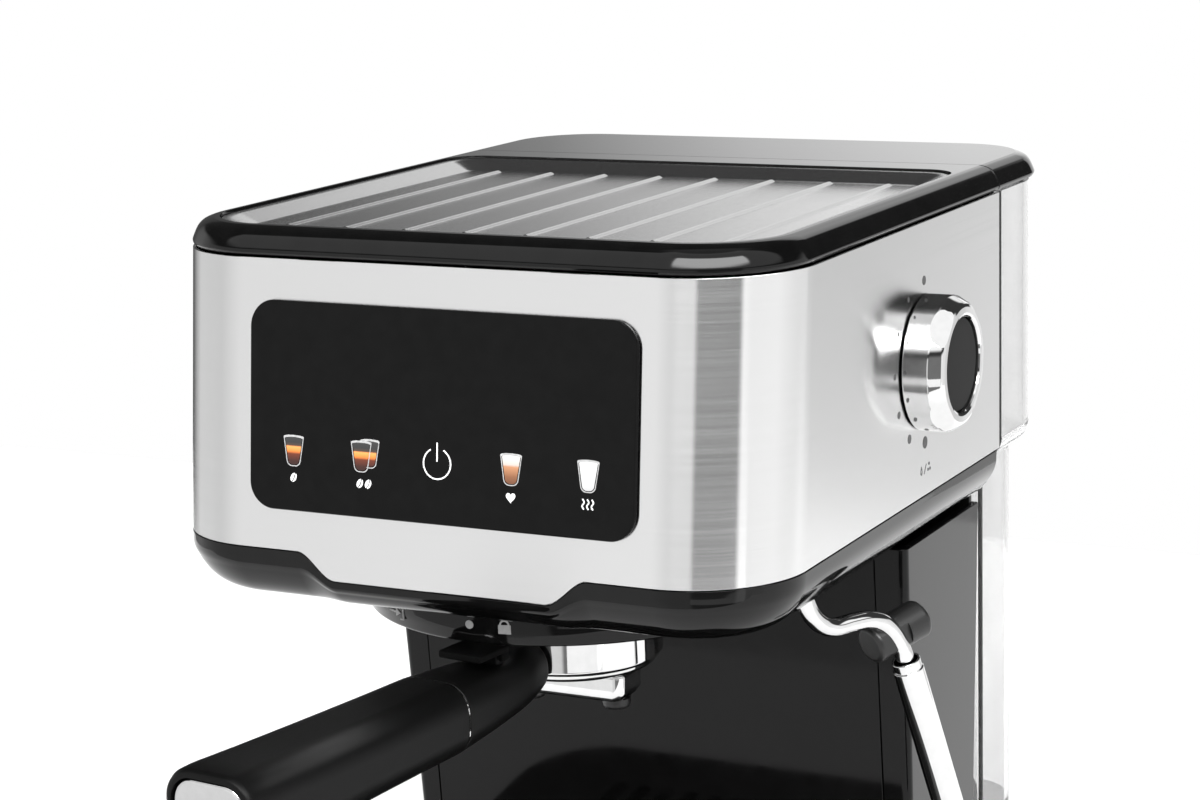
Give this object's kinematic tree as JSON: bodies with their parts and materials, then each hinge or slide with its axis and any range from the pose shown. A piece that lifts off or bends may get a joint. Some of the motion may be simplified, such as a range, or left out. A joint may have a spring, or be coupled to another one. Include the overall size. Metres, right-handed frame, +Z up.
{
  "type": "espresso machine",
  "caption": "Home espresso machine: steel head with a touch panel and cup-warming top, rear water tank, swinging steam wand, twist-in filter holder, drip tray.",
  "frame": {"origin": "Middle of the whole object's box in plan, on the table that the feet stand on.", "axes": "+Z up. +Y to the machine's back, where the tank is. +X to the side with the steam knob and wand. The handle points to -Y."},
  "size_m": [0.227, 0.3658, 0.3172],
  "materials": {
    "brushed_steel": "fine horizontal brushing, satin",
    "chrome": "polished",
    "gloss_black": "moulded, high gloss",
    "satin_black": "moulded, satin",
    "grip_black": "fine-grained, satin",
    "black_glass": "polished, opaque",
    "clear": "clear moulded tank",
    "rubber": "matt",
    "silicone": "translucent white silicone",
    "aluminium": "cast",
    "brass": "machined",
    "board_green": "circuit board",
    "copper_coil": "lacquered coil and steel yoke"
  },
  "bodies": {
    "machine": {"steel_wrap": "brushed_steel", "top_rim": "gloss_black", "warming_tray": "brushed_steel", "lower_bezel": "gloss_black", "touch_panel": "black_glass", "control_board": "board_green", "column_side_left": "gloss_black", "column_side_right": "gloss_black", "column_front": "gloss_black", "back_panel": "satin_black", "base_shell": "gloss_black", "base_plate": "satin_black", "foot_front_left": "rubber", "foot_front_right": "rubber", "foot_rear_left": "rubber", "foot_rear_right": "rubber", "cord_gland": "satin_black", "tank_inlet": "satin_black", "inlet_seal": "rubber", "group_collar": "gloss_black", "group_head": "aluminium", "group_gasket": "rubber", "shower_screen": "chrome", "shower_screw": "chrome", "boiler": "aluminium", "thermostat": "brass", "thermal_fuse": "silicone", "pump": "copper_coil", "pump_bracket": "rubber", "suction_hose": "silicone", "pressure_hose": "silicone", "power_board": "board_green", "steam_valve_body": "brass", "steam_pipe": "chrome", "wand_pipe": "silicone", "swivel_nut": "brass"},
    "drip_tray": {"drip_tray": "gloss_black"},
    "drip_grid": {"drip_grid": "satin_black"},
    "water_tank": {"water_tank": "clear", "lid_hinge_pin": "chrome"},
    "tank_lid": {"tank_lid": "gloss_black"},
    "tank_valve": {"tank_valve": "satin_black"},
    "steam_knob": {"steam_knob": "chrome", "knob_insert": "satin_black", "valve_spindle": "chrome"},
    "steam_wand": {"steam_tube": "chrome", "wand_grip": "satin_black", "steam_nozzle": "silicone"},
    "froth_sleeve": {"froth_sleeve": "chrome"},
    "filter_holder": {"filter_holder": "chrome", "filter_basket": "chrome", "spout_block": "chrome", "spout_nozzle_left": "satin_black", "spout_nozzle_right": "satin_black", "handle_neck": "grip_black", "handle_ring": "chrome", "handle_grip": "grip_black", "handle_end_cap": "chrome", "handle_bolt": "chrome"},
    "basket_clip": {"basket_clip": "grip_black"}
  },
  "joints": [
    {"name": "drip_tray_slide", "type": "slide", "parent": "machine", "child": "drip_tray", "axis": [0, -1, 0], "range_m": [0, 0.14]},
    {"name": "drip_grid_lift", "type": "slide", "parent": "drip_tray", "child": "drip_grid", "axis": [0, 0, 1], "range_m": [0, 0.03]},
    {"name": "tank_lift", "type": "slide", "parent": "machine", "child": "water_tank", "axis": [0, 0, 1], "range_m": [0, 0.24]},
    {"name": "tank_lid_hinge", "type": "hinge", "parent": "water_tank", "child": "tank_lid", "pos_m": [-0.00946, 0.1797, 0.3063], "axis": [-1, 0, 0], "range_deg": [0, 90]},
    {"name": "tank_valve_slide", "type": "slide", "parent": "water_tank", "child": "tank_valve", "axis": [0, 0, 1], "range_m": [-0.003, 0]},
    {"name": "steam_knob_turn", "type": "hinge", "parent": "machine", "child": "steam_knob", "pos_m": [0.09454, 0.045, 0.2635], "axis": [1, 0, 0], "range_deg": [0, 180]},
    {"name": "wand_swivel", "type": "hinge", "parent": "machine", "child": "steam_wand", "pos_m": [0.07754, -0.0161, 0.208], "axis": [0, 0, 1], "range_deg": [-100, 10]},
    {"name": "sleeve_slide", "type": "slide", "parent": "steam_wand", "child": "froth_sleeve", "axis": [0.1573, 0.2724, -0.9492], "range_m": [0, 0.062]},
    {"name": "filter_holder_turn", "type": "hinge", "parent": "machine", "child": "filter_holder", "pos_m": [-0.00946, -0.0034, 0.193], "axis": [0, 0, 1], "range_deg": [-38, 0]},
    {"name": "basket_clip_hinge", "type": "hinge", "parent": "filter_holder", "child": "basket_clip", "pos_m": [-0.01489, -0.0511, 0.1826], "axis": [-0.9936, 0.1132, 0], "range_deg": [0, 16]}
  ],
  "couplings": [
    {"joint": "tank_valve_slide", "follows": "tank_lift", "ratio": -0.0125}
  ]
}
